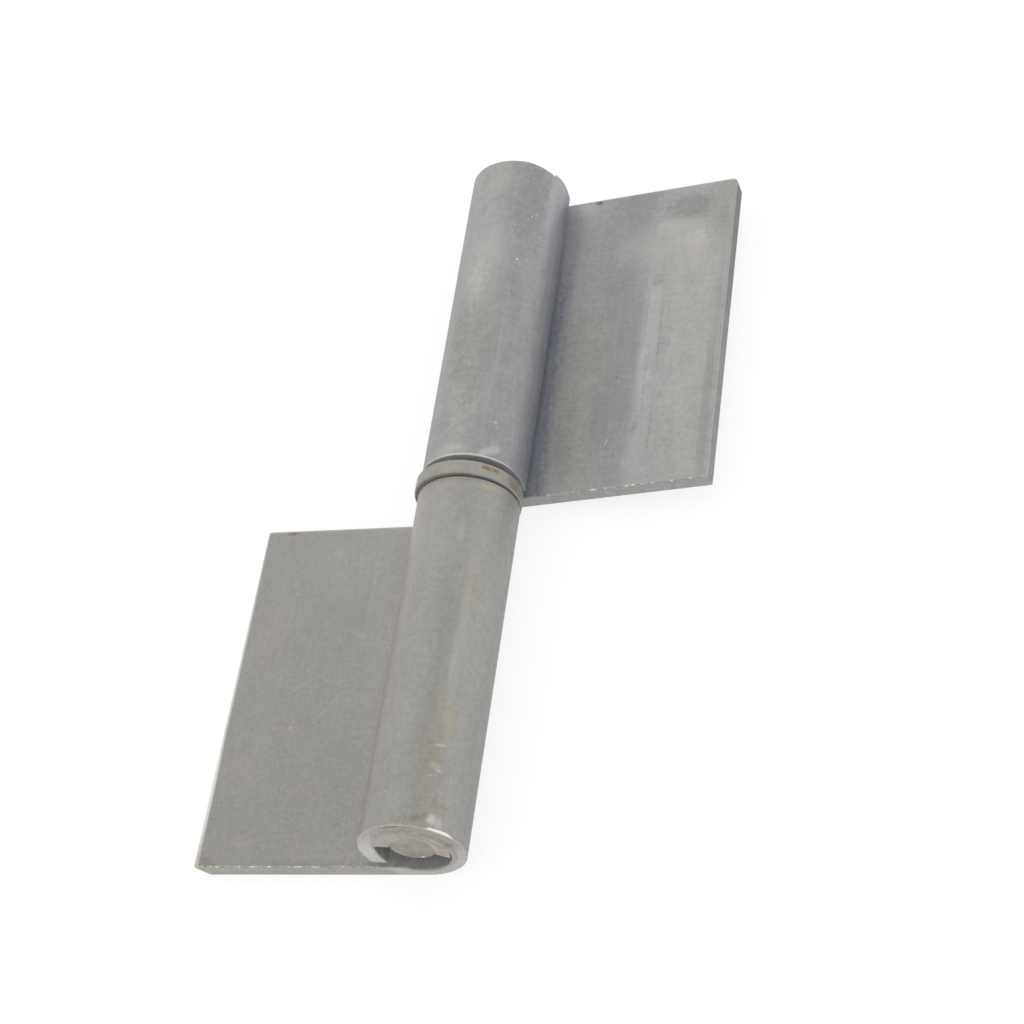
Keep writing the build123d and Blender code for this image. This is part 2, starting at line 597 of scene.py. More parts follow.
@dataclass(frozen=True)
class RolledSteel:
    """Bare sheet steel as it leaves the press: scale, stains, scratches, sheared edges and some painted
    light and shade.

    Reach, first and last say where the free edge and the two ends lie, in millimetres. Cut is the
    colour of the plate's sheared ends, free_cut and free_cut_outer those of the free edge towards
    the ring and away from it, and the rims those of the roll's two ends. Drift is how much lighter
    the scale gets with each millimetre along the pin. Clouds, flecks, weave, scratches and
    edge_wear are the strengths of those patterns.
    """

    name: str
    plate_tones: Tones
    roll_tones_and_shading: Tones
    marks: tuple[Mark, ...]
    reach: float
    cut: Colour
    free_cut: Colour
    free_cut_outer: Colour
    outer_rim: Colour
    inner_rim: Colour
    bore_tones: Tones
    drift: float
    clouds: float
    flecks: float
    weave: float
    scratches: float
    edge_wear: float
    blots_to_clouds: float = 0.9
    grain: float = 0.22
    first: float = 1.95
    last: float = 60.95
    metallic: float = 0.75
    roughness: float = 0.52

    def _grain(self, skin: Skin) -> tuple[Signal, Signal, Signal]:
        """Makes the scale's own pattern.

        Args:
            skin: The leaf's surface.

        Returns:
            How light the scale is, about 1, then its blotches and its finest grain, about 0.
        """
        bench = skin.bench
        patterns = (CLOUDS, BLOTS, FLECKS, GRAIN, RUN, DRAWN, ROLLED)
        clouds, blots, flecks, grain, run, drawn, rolled = [
            bench.mottle(skin.place, pattern) for pattern in patterns
        ]
        middle = (self.first + self.last) / 2
        level = 1.0 + clouds * self.clouds + blots * (self.clouds * self.blots_to_clouds)
        level = level + run * self.clouds + flecks * self.flecks + grain * self.grain
        level = level + (drawn + rolled) * self.weave
        return level + (skin.along - middle) * self.drift, blots, grain

    def _sheared(self, skin: Skin, colour: Signal, blots: Signal) -> Signal:
        """Lays the look of the cut edges and of the bore over a colour.

        Args:
            skin: The leaf's surface.
            colour: The colour of the rolled faces.
            blots: The scale's blotches.

        Returns:
            The colour with the cut edges and the bore.
        """
        bench = skin.bench
        level = 1.0 + bench.mottle(skin.place, SHEARED) * SHEARED_SHADE + blots * SHEARED_BLOTS
        bore = bench.tones(skin.across, self.bore_tones)
        rim = bench.blend(self.inner_rim, self.outer_rim, skin.along.rise(*INNER_TO_OUTER_RIM))
        cut = bench.blend(rim, self.cut, skin.radius.rise(*RIM_TO_CUT))
        along_free_edge = skin.along.rise(*INNER_TO_OUTER_CUT)
        free_cut = bench.blend(self.free_cut, self.free_cut_outer, along_free_edge)
        for look, where in ((bore, skin.bore), (cut, skin.ends), (free_cut, skin.free_edge)):
            colour = bench.blend(colour, bench.shade(look, level), where)
        return colour

    def _edges(self, skin: Skin) -> Signal:
        """Finds the edges that handling has worn bright.

        Args:
            skin: The leaf's surface.

        Returns:
            1 along the edges and 0 elsewhere.
        """
        ragged = skin.fray * WORN_RAGGED
        along, across = skin.along + ragged, skin.across + ragged
        edge = along.rise(self.first + WORN_AT_ENDS, self.first + WORN_BRIGHT)
        edge = edge.larger(along.rise(self.last - WORN_AT_ENDS, self.last - WORN_BRIGHT))
        edge = edge.larger(across.rise(self.reach - WORN_AT_FREE_EDGE, self.reach - WORN_BRIGHT))
        return edge * (1.0 - skin.ends) * (1.0 - skin.free_edge)

    @staticmethod
    def _sheltered(skin: Skin) -> Signal:
        """Finds what lies deep in the hinge: the crevice along the roll, the bore and the inner rim.

        Args:
            skin: The leaf's surface.

        Returns:
            1 in those places and 0 elsewhere.
        """
        crevice = skin.across.rise(*INTO_CREVICE) * skin.plate
        inner_rim = skin.ends * skin.along.rise(*TOWARDS_RING) * skin.radius.rise(*CUT_TO_RIM)
        return crevice.larger(skin.bore).larger(inner_rim)

    def finish(self, lies: LeafFrame) -> bpy.types.Material:
        """Makes the material.

        Args:
            lies: The frame of the leaf that carries it.

        Returns:
            The material.
        """
        material = bpy.data.materials.new(self.name)
        bench = Bench(material)
        skin = Skin.of(bench, lies)
        level, blots, grain = self._grain(skin)

        plate = bench.tones(skin.across + skin.fray * PLATE_STRAY, self.plate_tones)
        roll = bench.tones(skin.angle + skin.fray * ROLL_STRAY, self.roll_tones_and_shading)
        colour = self._sheared(skin, bench.blend(plate, roll, skin.roll), blots)
        colour = bench.shade(skin.mark(colour, self.marks), level)

        hairs = skin.hairs()
        colour = bench.blend(colour, HAIR_STEEL, hairs * self.scratches)

        cell = {"Vector": skin.place, "Scale": CELLS_PER_MM}
        far = bench.node("ShaderNodeTexVoronoi", None, cell, "Distance")
        kind = bench.split(bench.node("ShaderNodeTexVoronoi", None, cell, "Color"))[0]
        for specks in SPECKS:
            amount = far.rise(*specks.size) * kind.rise(*specks.share) * SPECK_COVER
            colour = bench.blend(colour, specks.colour, amount)

        edge = self._edges(skin)
        colour = bench.blend(colour, WORN_STEEL, edge * self.edge_wear)
        sheltered = self._sheltered(skin)

        roughness = self.roughness + grain * GRAIN_ROUGH + blots * BLOTS_ROUGH
        roughness = roughness - edge * WEAR_SMOOTH + sheltered * SHELTER_ROUGH
        sockets = {
            "Base Color": colour,
            "Metallic": self.metallic - sheltered * SHELTER_DULL,
            "Roughness": roughness,
            "Normal": bench.relief(grain * GRAIN_DEPTH + blots * BLOT_DEPTH - hairs * HAIR_DEPTH),
        }
        bench.close("ShaderNodeOutputMaterial", bench.node("ShaderNodeBsdfPrincipled", None, sockets))
        return material


# The tool's rings on turned steel, and where the tint counts as a stain
RINGS_PER_MM = 5.0
TINT_STAINS = (-0.05, 0.12)


@dataclass(frozen=True)
class TurnedSteel:
    """Steel that was sawn, turned or welded about the pin's axis.

    Face is the colour of its ends and side that of the rest. Stained, blotched, grain and rings
    are the strengths of its patterns.
    """

    name: str
    face: Colour
    side: Colour
    stain: Colour
    stained: float
    marks: tuple[Mark, ...] = ()
    blotched: float = 0.25
    grain: float = 0.28
    rings: float = 0.12
    metallic: float = 0.75
    roughness: float = 0.45

    def finish(self, lies: LeafFrame) -> bpy.types.Material:
        """Makes the material.

        Args:
            lies: The frame of the leaf beside it.

        Returns:
            The material.
        """
        material = bpy.data.materials.new(self.name)
        bench = Bench(material)
        skin = Skin.of(bench, lies)
        blots = bench.mottle(skin.place, TURNED_BLOTS)
        grain = bench.mottle(skin.place, TURNED_GRAIN)
        brushed = bench.mottle(skin.place, BRUSHED)
        turned = {"W": skin.radius + skin.along, "Scale": RINGS_PER_MM}
        rings = bench.node("ShaderNodeTexNoise", {"noise_dimensions": "1D"}, turned) - 0.5
        level = 1.0 + blots * self.blotched + grain * self.grain + rings * self.rings
        level = level + brushed * skin.ends * self.blotched

        colour = bench.blend(self.side, self.face, skin.ends)
        tint = bench.mottle(skin.place, TINT).rise(*TINT_STAINS)
        colour = bench.blend(colour, self.stain, tint * self.stained)
        colour = bench.shade(skin.mark(colour, self.marks), level)
        sockets = {
            "Base Color": colour,
            "Metallic": self.metallic,
            "Roughness": self.roughness + grain * GRAIN_ROUGH,
            "Normal": bench.relief(grain * GRAIN_DEPTH + blots * BLOT_DEPTH),
        }
        bench.close("ShaderNodeOutputMaterial", bench.node("ShaderNodeBsdfPrincipled", None, sockets))
        return material


@dataclass(frozen=True)
class BurrSteel:
    """The bright torn steel of a burr."""

    name: str
    dull: Colour = paint(150, 148, 142)
    bright: Colour = paint(232, 230, 222)
    laid_bare: tuple[float, float] = (-0.04, 0.16)
    metallic: float = 0.7
    roughness: float = 0.5
    bright_smooth: float = 0.15

    def finish(self) -> bpy.types.Material:
        """Makes the material.

        Returns:
            The material.
        """
        material = bpy.data.materials.new(self.name)
        bench = Bench(material)
        coordinates = bench.node("ShaderNodeTexCoord", output="Object")
        sockets = {"Vector": coordinates, "Scale": (1 / MM, 1 / MM, 1 / MM)}
        place = bench.node("ShaderNodeMapping", {"vector_type": "POINT"}, sockets)
        torn = bench.mottle(place, TORN).rise(*self.laid_bare)
        sockets = {
            "Base Color": bench.blend(self.dull, self.bright, torn),
            "Metallic": self.metallic,
            "Roughness": self.roughness - torn * self.bright_smooth,
        }
        bench.close("ShaderNodeOutputMaterial", bench.node("ShaderNodeBsdfPrincipled", None, sockets))
        return material


@dataclass(frozen=True)
class Burr:
    """A ragged thread of steel that the shears left along an edge, in millimetres in the leaf's frame.

    It runs from start to end across the plate. Long pulls raise and lower it by up to ragged, and
    shorter tears by a share of that.
    """

    name: str
    body: str
    lies: LeafFrame
    start: float
    end: float
    along: float
    height: float
    thick: float = 0.13
    tall: float = 0.16
    ragged: float = 0.1
    lengths_per_mm: float = 3.0
    pulls_per_mm: float = 1.7
    tears_per_mm: float = 6.0
    tear_share: float = 0.6
    tear_row: float = 3.0

    def build(self) -> bpy.types.Object:
        """Draws out a bar, cuts it into short lengths and pulls them up and down.

        Returns:
            The burr.
        """
        length = self.end - self.start
        shape = bmesh.new()
        bmesh.ops.create_cube(shape, size=1.0)
        lengthways = [edge for edge in shape.edges if edge.verts[0].co.x != edge.verts[1].co.x]
        cuts = round(length * self.lengths_per_mm)
        bmesh.ops.subdivide_edges(shape, edges=lengthways, cuts=cuts, use_grid_fill=True)
        bmesh.ops.scale(shape, verts=shape.verts, vec=(length, self.thick, self.tall))
        for vert in shape.verts:
            pull = noise.noise(Vector((vert.co.x * self.pulls_per_mm, self.along, 0.0)))
            tear = noise.noise(Vector((vert.co.x * self.tears_per_mm, self.tear_row, self.along)))
            vert.co.z += (pull + self.tear_share * tear) * self.ragged
        middle = (self.start + length / 2, self.along, self.height)
        bmesh.ops.translate(shape, verts=shape.verts, vec=middle)
        bmesh.ops.transform(shape, matrix=self.lies.matrix(), verts=shape.verts)
        mesh = bpy.data.meshes.new(self.name)
        shape.to_mesh(mesh)
        shape.free()
        piece = bpy.data.objects.new(self.name, mesh)
        bpy.context.scene.collection.objects.link(piece)
        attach(piece, self.body)
        return piece

    def dress(self, piece: bpy.types.Object) -> None:
        """Gives the burr its finish."""
        piece.data.materials.append(BurrSteel(f"{self.name}_steel").finish())
        log.info("%s: %d faces", self.name, len(piece.data.polygons))


@dataclass(frozen=True)
class SoftBox:
    """A square lamp that points at the hinge: its place and side in metres, its power in watts."""

    name: str
    place: tuple[float, float, float]
    side: float
    power: float

    def hang(self) -> None:
        """Hangs the lamp."""
        data = bpy.data.lights.new(self.name, "AREA")
        data.size = self.side
        data.energy = self.power
        lamp = bpy.data.objects.new(self.name, data)
        lamp.location = self.place
        lamp.rotation_euler = (-Vector(self.place)).to_track_quat("-Z", "Y").to_euler()
        bpy.context.scene.collection.objects.link(lamp)


@dataclass(frozen=True)
class Studio:
    """The table, the light and the camera.

    The camera's place and turn, in degrees, and its lens, in millimetres, are those that lay the
    hinge's outlines over the photographed ones. The table's own white is what its light does to
    the hinge, and its shadow and glow are what the camera sees.
    """

    camera_place: Vector = Vector((122.6696, -208.4747, 314.3945)) * MM
    camera_turn: tuple[float, float, float] = (34.4489, 15.8299, 7.7356)
    lens: float = 88.3795
    sensor: float = 36.0
    table_half: float = 3.0
    table_drop: float = 0.02 * MM
    table_white: float = 0.4
    table_shadow: float = 0.22
    table_glow: float = 0.81
    sky: float = 0.95
    lamps: tuple[SoftBox, ...] = (
        SoftBox("key_light", (-0.5, 0.2, 0.8), side=0.5, power=0.5),
        SoftBox("side_light", (0.6, 0.0, 0.28), side=0.4, power=0.45),
    )

    def set_camera(self) -> None:
        """Puts the camera where the photograph was taken from."""
        data = bpy.data.cameras.new("camera")
        data.lens = self.lens
        data.sensor_width = self.sensor
        data.clip_start = 0.01
        data.clip_end = 100.0
        camera = bpy.data.objects.new("camera", data)
        camera.location = self.camera_place
        camera.rotation_euler = [math.radians(angle) for angle in self.camera_turn]
        bpy.context.scene.collection.objects.link(camera)
        bpy.context.scene.camera = camera

    @staticmethod
    def _seen(bench: Bench) -> Signal:
        """Returns 1 for what the camera or bare metal sees, and 0 for what only gives light."""
        kinds = ("Camera", "Glossy", "Transmission")
        rays = [bench.node("ShaderNodeLightPath", output=f"Is {kind} Ray") for kind in kinds]
        return rays[0].larger(rays[1]).larger(rays[2])

    def lay_table(self) -> None:
        """Lays a white table under the hinge."""
        mesh = bpy.data.meshes.new("table")
        shape = bmesh.new()
        bmesh.ops.create_grid(shape, x_segments=1, y_segments=1, size=self.table_half)
        bmesh.ops.translate(shape, verts=shape.verts, vec=(0, 0, -self.table_drop))
        shape.to_mesh(mesh)
        shape.free()
        table = bpy.data.objects.new("table", mesh)
        bpy.context.scene.collection.objects.link(table)
        mesh.materials.append(self._table_finish())

    def _table_finish(self) -> bpy.types.Material:
        """Makes the table's material.

        Returns:
            The material.
        """
        material = bpy.data.materials.new("white_table")
        bench = Bench(material)
        card = bench.node("ShaderNodeBsdfDiffuse", None, {"Color": grey(self.table_white)})
        paper = bench.node("ShaderNodeBsdfDiffuse", None, {"Color": grey(self.table_shadow)})
        light = {"Color": grey(1.0), "Strength": self.table_glow}
        lit = {0: paper, 1: bench.node("ShaderNodeEmission", None, light)}
        sockets = {0: self._seen(bench), 1: card, 2: bench.node("ShaderNodeAddShader", None, lit)}
        bench.close("ShaderNodeOutputMaterial", bench.node("ShaderNodeMixShader", None, sockets))
        return material

    def hang_sky(self) -> None:
        """Surrounds the hinge with even white light, pure white where the camera or metal sees it."""
        world = bpy.data.worlds.new("light_tent")
        bench = Bench(world)
        tent, backdrop = [
            bench.node("ShaderNodeBackground", None, {"Color": grey(1.0), "Strength": strength})
            for strength in (self.sky, 1.0)
        ]
        sockets = {0: self._seen(bench), 1: tent, 2: backdrop}
        bench.close("ShaderNodeOutputWorld", bench.node("ShaderNodeMixShader", None, sockets))
        bpy.context.scene.world = world

    def set_up(self) -> None:
        """Sets up the table, the light and the camera."""
        self.set_camera()
        self.lay_table()
        self.hang_sky()
        for lamp in self.lamps:
            lamp.hang()
        bpy.context.scene.view_settings.view_transform = "Standard"


@dataclass(frozen=True)
class Piece:
    """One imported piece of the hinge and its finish."""

    node: str
    steel: RolledSteel | TurnedSteel
    lies: LeafFrame

    def dress(self) -> None:
        """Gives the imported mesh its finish."""
        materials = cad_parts[self.node].data.materials
        materials.clear()
        materials.append(self.steel.finish(self.lies))
        log.info("%s: dressed in %s", self.node, self.steel.name)


# A mark's columns are its part, its place across and along, half its width and half its length,
# its colour, its cover, how soft and how frayed its edge is, its lean in degrees, and its shape
PLATE, ROLL, FACE = Part.PLATE, Part.ROLL, Part.FACE

LOWER_MARKS = (
    # Plate
    Mark(PLATE, 32, 21, 3, 3.6, paint(156, 148, 146), 0.6),
    Mark(PLATE, 25.3, 37.4, 1, 1.3, paint(155, 147, 146), 0.65),
    Mark(PLATE, 25.1, 37.7, 0.3, 0.26, paint(172, 166, 163), 0.8, 0.5, 0.3),
    Mark(PLATE, 32.3, 44.5, 1.4, 1.6, paint(154, 147, 144), 0.5),
    Mark(PLATE, 29.8, 57, 1.3, 1.1, paint(157, 151, 143), 0.6),
    Mark(PLATE, 29.9, 57.2, 0.4, 0.35, paint(172, 165, 155), 0.6, 0.6, 0.4),
    Mark(PLATE, 20.6, 48.6, 1.4, 1.7, paint(154, 148, 138), 0.6),
    Mark(PLATE, 20, 57, 1, 1.1, paint(155, 148, 140), 0.6),
    Mark(PLATE, 11.9, 60.1, 0.22, 0.55, paint(186, 160, 158), 0.9, 0.4, 0.3, -28),
    Mark(PLATE, 15.8, 13, 0.25, 8, paint(168, 167, 163), 0.3),
    Mark(PLATE, 16.2, 21.8, 0.6, 0.5, paint(170, 169, 165), 0.4),
    Mark(PLATE, 19, 9, 10, 7, paint(157, 156, 154), 0.5),
    Mark(PLATE, 31.3, 2.35, 0.9, 0.35, paint(128, 112, 100), 0.85, 0.5, 0.5),
    Mark(PLATE, 14.5, 48, 4.8, 7.5, paint(146, 145, 141), 0.55),
    Mark(PLATE, 16, 60.3, 9, 0.6, paint(141, 139, 134), 0.5),
    Mark(PLATE, 34.6, 60, 1.2, 0.9, paint(140, 131, 122), 0.65),
    Mark(PLATE, 24.4, 30.2, 0.16, 2.9, paint(168, 167, 163), 0.4, 0.6, 0.6, -55),
    Mark(PLATE, 19.2, 33.6, 0.16, 3.4, paint(168, 168, 160), 0.4, 0.6, 0.6, -38),
    Mark(PLATE, 20.8, 29.4, 0.15, 1.7, paint(168, 167, 163), 0.35, 0.6, 0.6, 52),
    Mark(PLATE, 18.4, 29.9, 0.15, 1.5, paint(172, 170, 158), 0.35, 0.6, 0.6, -70),
    Mark(PLATE, 22.6, 32.2, 0.15, 1.9, paint(168, 167, 163), 0.3, 0.6, 0.6, 20),
    Mark(PLATE, 35.75, 31, 0.28, 26, paint(204, 203, 199), 0.75, 0.5, 0.5, -0.7),
    Mark(PLATE, 35.9, 50, 0.34, 8, paint(222, 221, 211), 0.9, 0.5, 0.4, -0.7),
    # Roll, from the plate's side over the top
    Mark(ROLL, 33, 32, 14, 36, paint(170, 163, 158), 0.45),
    Mark(ROLL, 38, 18, 8, 4.5, paint(162, 156, 151), 0.4),
    Mark(ROLL, 38, 38, 8, 4.5, paint(162, 155, 151), 0.4),
    Mark(ROLL, 36, 52, 8, 5, paint(162, 156, 150), 0.4),
    Mark(ROLL, 84, 2.9, 10, 0.8, paint(168, 157, 146), 0.7, 0.6, 1.2),
    Mark(ROLL, 60, 3.6, 8, 0.8, paint(160, 152, 145), 0.6, 0.6, 1.2),
    Mark(ROLL, 128, 3, 12, 0.5, paint(166, 163, 140), 0.7, 0.6, 1.1, -1),
    Mark(ROLL, 108, 11.5, 4, 2, paint(166, 165, 161), 0.6),
    Mark(ROLL, 106, 45, 7, 18, paint(147, 145, 140), 0.55),
    # A pale streak along the roll, partly worn steel and partly painted highlight
    Mark(ROLL, 126, 30, 5, 14, paint(165, 163, 156), 0.6),
    Mark(ROLL, 132, 22, 2.6, 2.4, paint(158, 149, 136), 0.7, 0.7, 1.2),
    Mark(ROLL, 130, 18.5, 2, 0.8, paint(166, 154, 132), 0.5, 0.7, 1.2),
    # The streak's whitish part: partly worn steel and partly painted highlight
    Mark(ROLL, 122, 33, 3.2, 4, paint(168, 166, 161), 0.6, 0.7, 1),
    Mark(ROLL, 118, 41, 4.5, 3, paint(159, 153, 141), 0.6),
    Mark(ROLL, 128, 43.6, 4.2, 2.2, paint(162, 156, 139), 0.7),
    Mark(ROLL, 115, 51.5, 10, 7.5, paint(152, 149, 138), 0.65),
    Mark(ROLL, 117, 50.4, 7, 2.2, paint(148, 139, 126), 0.55, 0.7, 1),
    # Painted glints: short bright dashes of highlight on the roll
    Mark(ROLL, 123, 47.6, 6, 0.24, paint(180, 178, 174), 0.8, 0.6, 0.9, -1),
    Mark(ROLL, 122, 51, 5.5, 0.5, paint(172, 169, 163), 0.8, 0.7, 1.4, 1),
    Mark(ROLL, 125, 51.6, 3, 0.2, paint(184, 182, 176), 0.7, 0.6, 1.2, 2),
    Mark(ROLL, 117, 52.6, 3.5, 0.2, paint(176, 173, 166), 0.6, 0.6, 1),
    Mark(ROLL, 130.5, 57, 8.5, 1.2, paint(152, 146, 139), 0.8, 0.6, 1.3),
    Mark(ROLL, 125, 56.5, 2.6, 0.35, paint(156, 140, 128), 0.8, 0.6, 1.3),
    Mark(ROLL, 137, 57, 2.4, 0.5, paint(155, 138, 126), 0.8, 0.6, 1.3),
    Mark(ROLL, 129, 58, 3.6, 0.3, paint(158, 142, 130), 0.7, 0.6, 1.3),
    Mark(ROLL, 112, 59.4, 9, 0.6, paint(136, 130, 121), 0.8, 0.6, 1.3, -4),
    Mark(ROLL, 119, 58.7, 5, 0.4, paint(142, 134, 120), 0.8, 0.6, 1.3),
    Mark(ROLL, 92, 59.9, 12, 0.6, paint(148, 143, 134), 0.65, 0.6, 1.2),
    Mark(ROLL, 126, 59.2, 4.6, 0.7, paint(196, 193, 182), 0.8, 0.6, 1.1),
    Mark(ROLL, 134, 59.6, 4, 0.8, paint(180, 178, 170), 0.7, 0.6, 1.1),
    # Painted highlight along the worn bevel at the roll's outer end
    Mark(ROLL, 138, 60.8, 15, 0.35, paint(236, 233, 222), 1, 0.3, 0.5),
    # Outer end face
    Mark(FACE, 92, 7.3, 40, 1.2, paint(164, 159, 149), 0.85, 0.6, 0.9),
    Mark(FACE, 86, 7.75, 14, 0.2, paint(130, 124, 113), 0.8, 0.5, 1),
    Mark(FACE, 152, 7, 30, 1.8, paint(160, 157, 151), 0.75, 0.6, 0.9),
    Mark(FACE, 165, 6.6, 6, 0.6, paint(158, 147, 136), 0.5, 0.6, 1.2),
    Mark(FACE, -4, 6.8, 22, 1.3, paint(212, 211, 207), 0.6, 0.6, 0.8),
)

UPPER_MARKS = (
    # Plate
    Mark(PLATE, 28.9, 22.5, 6.1, 22, paint(168, 168, 165), 0.75, 0.12, 0.42, 0, Shape.BAND),
    Mark(PLATE, 28, 43, 6.6, 8, paint(167, 167, 164), 0.7, 0.25, 0.35, -7, Shape.BAND),
    Mark(PLATE, 25.6, 50, 7.5, 3.6, paint(169, 169, 166), 0.65, 0.7, 0.8, 18),
    Mark(PLATE, 19.4, 27, 3.3, 17.5, paint(141, 141, 142), 0.5, 0.3, 0.4, 0, Shape.BAND),
    Mark(PLATE, 19, 58, 3.6, 3, paint(139, 139, 139), 0.65),
    Mark(PLATE, 29, 56.4, 3.9, 2.7, paint(138, 137, 137), 0.7),
    Mark(PLATE, 23.6, 57.5, 1.6, 2, paint(158, 158, 156), 0.5),
    Mark(PLATE, 26.8, 52.6, 4, 1.6, paint(175, 175, 172), 0.6),
    Mark(PLATE, 31, 49.8, 3.4, 1.8, paint(180, 179, 176), 0.6),
    Mark(PLATE, 31.2, 46.3, 1.8, 1.9, paint(178, 169, 167), 0.55),
    Mark(PLATE, 13, 24, 3.6, 11, paint(149, 146, 140), 0.45),
    Mark(PLATE, 15, 10, 4.2, 5.5, paint(149, 147, 142), 0.4),
    Mark(PLATE, 24.4, 24, 1.4, 17, paint(174, 175, 176), 0.5, 0.5, 0.9),
    Mark(PLATE, 25, 25.4, 1.1, 1.7, paint(156, 157, 164), 0.5),
    Mark(PLATE, 26.9, 6.6, 1.1, 1.6, paint(157, 158, 164), 0.45),
    Mark(PLATE, 26.9, 28.8, 1, 1.6, paint(151, 151, 151), 0.6),
    Mark(PLATE, 26.9, 18.6, 0.9, 1.3, paint(152, 152, 152), 0.55),
    Mark(PLATE, 24.6, 42, 1, 1.4, paint(151, 151, 151), 0.55),
    Mark(PLATE, 30, 40.5, 1, 2.2, paint(153, 153, 152), 0.45),
    Mark(PLATE, 26.1, 30, 0.12, 7.5, paint(138, 138, 141), 0.45, 0.6, 1.2, 1),
    Mark(PLATE, 26.2, 11.5, 0.12, 5, paint(138, 138, 141), 0.45, 0.6, 1.2, -1),
    Mark(PLATE, 24.4, 20, 0.1, 5, paint(140, 140, 143), 0.4, 0.6, 1.2, 1),
    Mark(PLATE, 23.4, 35.5, 0.12, 4, paint(138, 138, 141), 0.45, 0.6, 1.2),
    Mark(PLATE, 23.6, 13, 0.4, 1.3, paint(136, 137, 142), 0.5, 0.6, 1),
    Mark(PLATE, 27.5, 14.2, 7.5, 0.12, paint(178, 179, 183), 0.35, 0.6, 0.8, 1),
    Mark(PLATE, 19.2, 10.8, 0.12, 0.7, paint(190, 188, 182), 0.75, 0.4, 0.3, -22),
    Mark(PLATE, 19.6, 23.1, 0.24, 0.18, paint(108, 108, 112), 0.7, 0.4, 0.3),
    Mark(PLATE, 35.1, 16.5, 0.6, 13.5, paint(150, 151, 146), 0.6, 0.3, 0.8, 0, Shape.BAND),
    Mark(PLATE, 36.1, 30, 0.18, 28.5, paint(170, 171, 172), 0.5, 0.4, 0.4, 0.2, Shape.BAND),
    Mark(PLATE, 34, 54, 1.8, 7, paint(154, 153, 148), 0.6),
    Mark(PLATE, 12.2, 60.4, 0.6, 0.4, paint(94, 92, 90), 0.8, 0.5, 0.4),
    # A dark blue band by the roll: the scale there, and painted shade of the crevice
    Mark(PLATE, 7, 22, 1.5, 20, paint(128, 131, 144), 0.6, 0.25, 0.6, 0, Shape.BAND),
    # Roll, from the plate's side over the top
    Mark(ROLL, 94, 39.5, 22, 7.5, paint(173, 173, 171), 0.65),
    Mark(ROLL, 99, 36.5, 10, 4, paint(180, 179, 176), 0.55),
    Mark(ROLL, 92, 23, 21, 12, paint(153, 151, 146), 0.55),
    Mark(ROLL, 84, 15.5, 10, 3.4, paint(147, 145, 140), 0.55),
    Mark(ROLL, 100, 18, 8, 2.4, paint(148, 146, 141), 0.45),
    Mark(ROLL, 104, 51, 2.6, 1.2, paint(146, 146, 143), 0.6),
    Mark(ROLL, 46, 53, 18, 8, paint(142, 142, 144), 0.65),
    Mark(ROLL, 98, 58.5, 15, 2.6, paint(160, 159, 155), 0.45),
    Mark(ROLL, 57, 21.5, 0.8, 5.8, paint(166, 167, 170), 0.45, 0.6, 1.2, 1.5),
    Mark(ROLL, 60, 14.5, 0.9, 3.4, paint(166, 167, 170), 0.45, 0.6, 1.2, -2),
    # Painted highlights: glossy patches and a bright rim line at the roll's end by the ring
    Mark(ROLL, 50, 3.2, 12, 0.7, paint(188, 188, 190), 0.75, 0.6, 1.3, -4),
    Mark(ROLL, 44, 4, 5, 1, paint(178, 178, 182), 0.6, 0.6, 1.3),
    Mark(ROLL, 95, 3.3, 19, 1, paint(176, 176, 172), 0.65, 0.6, 1),
    Mark(ROLL, 76, 2.1, 52, 0.2, paint(206, 204, 192), 0.75, 0.5, 0.5),
    Mark(ROLL, 53, 40.6, 1.4, 0.2, paint(200, 200, 200), 0.85, 0.4, 0.3),
    Mark(ROLL, 47.5, 49.2, 1.2, 0.15, paint(192, 192, 190), 0.8, 0.4, 0.4),
    Mark(ROLL, 43.5, 49.9, 1.4, 0.12, paint(188, 188, 187), 0.75, 0.4, 0.4),
    Mark(ROLL, 38.5, 50.6, 1.2, 0.14, paint(192, 192, 190), 0.75, 0.4, 0.4),
    Mark(ROLL, 47.5, 8.7, 2, 0.2, paint(190, 190, 192), 0.75, 0.4, 0.5),
    Mark(ROLL, 44, 7.9, 1.6, 0.16, paint(184, 184, 187), 0.7, 0.4, 0.5),
    Mark(ROLL, 15, 7.2, 1.4, 0.2, paint(178, 179, 183), 0.75, 0.4, 0.3),
    Mark(ROLL, 54, 34, 1.4, 0.4, paint(132, 132, 135), 0.55, 0.5, 0.8),
)

LOWER_STEEL = RolledSteel(
    name="lower_leaf_steel",
    plate_tones=(
        (6, paint(156, 154, 150)), (12, paint(155, 153, 149)), (17, paint(150, 149, 145)),
        (22, paint(148, 147, 143)), (36, paint(148, 147, 143)),
    ),
    # Around the roll: the steel's tone with painted light, lighter on the flank beside the plate to lift
    # the shade that falls there
    roll_tones_and_shading=(
        (-180, paint(152, 152, 150)), (20, paint(176, 173, 168)), (45, paint(168, 165, 161)),
        (60, paint(161, 159, 155)), (85, paint(153, 152, 148)), (110, paint(152, 151, 147)),
        (132, paint(154, 153, 149)), (150, paint(158, 157, 153)), (180, paint(157, 156, 154)),
    ),
    marks=LOWER_MARKS,
    reach=35.8,
    cut=paint(176, 173, 168),
    free_cut=paint(176, 172, 162),
    free_cut_outer=paint(178, 174, 164),
    outer_rim=paint(192, 189, 184),
    inner_rim=paint(182, 179, 173),
    # Painted light in the bore: lighter towards the plate's side, where the tip shades it
    bore_tones=((-6, paint(138, 138, 133)), (0, paint(138, 138, 136)), (4, paint(146, 146, 146))),
    drift=-0.0015,
    clouds=0.15,
    flecks=0.44,
    weave=0.1,
    scratches=0.16,
    edge_wear=0.5,
)

